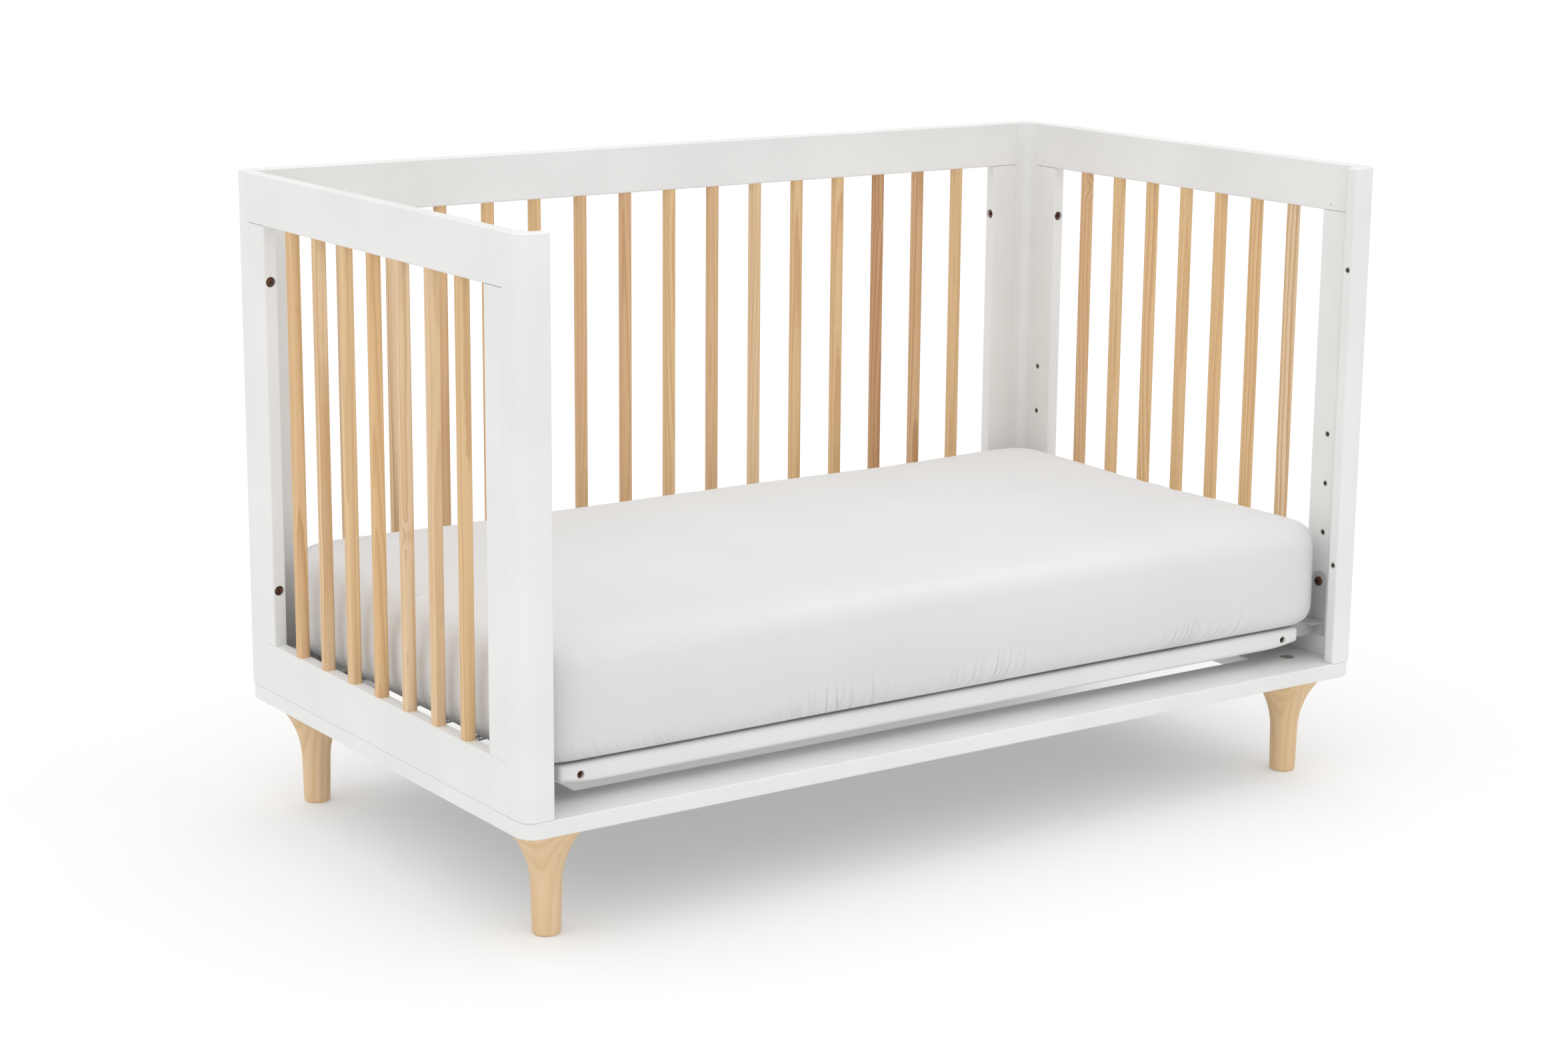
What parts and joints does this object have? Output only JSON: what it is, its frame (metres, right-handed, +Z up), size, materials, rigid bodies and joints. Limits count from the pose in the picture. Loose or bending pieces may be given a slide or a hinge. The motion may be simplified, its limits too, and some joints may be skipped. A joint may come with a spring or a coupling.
{
  "type": "baby crib",
  "caption": "Baby crib in open-front day-bed form: painted frame, square pine spindles, turned legs, height-adjustable spring support and sheeted mattress.",
  "frame": {"origin": "on the floor, under the middle of the crib's outer box", "axes": "+X along the crib's length to the right seen from the open front, +Y towards the back panel, +Z up"},
  "size_m": [1.366, 0.762, 0.875],
  "materials": {
    "painted_wood": "satin white paint",
    "clear_pine": "clear satin lacquer over pine",
    "bronze_fasteners": "dark bronze plating",
    "zinc_fasteners": "zinc plated",
    "support_steel": "grey powder coat",
    "mattress_cover": "woven ticking",
    "sheet_cotton": "white cotton"
  },
  "bodies": {
    "crib": {"base_front_rail": "painted_wood", "base_back_rail": "painted_wood", "base_left_board": "painted_wood", "base_right_board": "painted_wood", "leg_front_left": "clear_pine", "leg_front_right": "clear_pine", "leg_back_left": "clear_pine", "leg_back_right": "clear_pine", "corner_post_back_left": "painted_wood", "corner_post_back_right": "painted_wood", "front_post_left": "painted_wood", "front_post_right": "painted_wood", "left_end_top_rail": "painted_wood", "left_end_bottom_rail": "painted_wood", "left_end_back_stile": "painted_wood", "right_end_top_rail": "painted_wood", "right_end_bottom_rail": "painted_wood", "right_end_back_stile": "painted_wood", "back_top_rail": "painted_wood", "back_bottom_rail": "painted_wood", "back_left_stile": "painted_wood", "back_right_stile": "painted_wood", "panel_bolts": "bronze_fasteners", "threaded_inserts": "bronze_fasteners", "leg_bolts": "zinc_fasteners", "left_end_spindle_1": "clear_pine", "left_end_spindle_2": "clear_pine", "left_end_spindle_3": "clear_pine", "left_end_spindle_4": "clear_pine", "left_end_spindle_5": "clear_pine", "left_end_spindle_6": "clear_pine", "left_end_spindle_7": "clear_pine", "right_end_spindle_1": "clear_pine", "right_end_spindle_2": "clear_pine", "right_end_spindle_3": "clear_pine", "right_end_spindle_4": "clear_pine", "right_end_spindle_5": "clear_pine", "right_end_spindle_6": "clear_pine", "right_end_spindle_7": "clear_pine", "back_spindle_01": "clear_pine", "back_spindle_02": "clear_pine", "back_spindle_03": "clear_pine", "back_spindle_04": "clear_pine", "back_spindle_05": "clear_pine", "back_spindle_06": "clear_pine", "back_spindle_07": "clear_pine", "back_spindle_08": "clear_pine", "back_spindle_09": "clear_pine", "back_spindle_10": "clear_pine", "back_spindle_11": "clear_pine", "back_spindle_12": "clear_pine", "back_spindle_13": "clear_pine", "back_spindle_14": "clear_pine", "back_spindle_15": "clear_pine"},
    "support": {"support_frame": "support_steel", "spring_mesh": "support_steel", "support_bolts": "bronze_fasteners", "stabilizer_bar": "painted_wood"},
    "bedding": {"mattress": "mattress_cover", "fitted_sheet": "sheet_cotton"}
  },
  "joints": [
    {"name": "support_height", "type": "slide", "parent": "crib", "child": "support", "axis": [0, 0, 1], "range_m": [0, 0.2145]},
    {"name": "mattress_lift", "type": "slide", "parent": "support", "child": "bedding", "axis": [0, 0, 1], "range_m": [0, 0.75]}
  ]
}
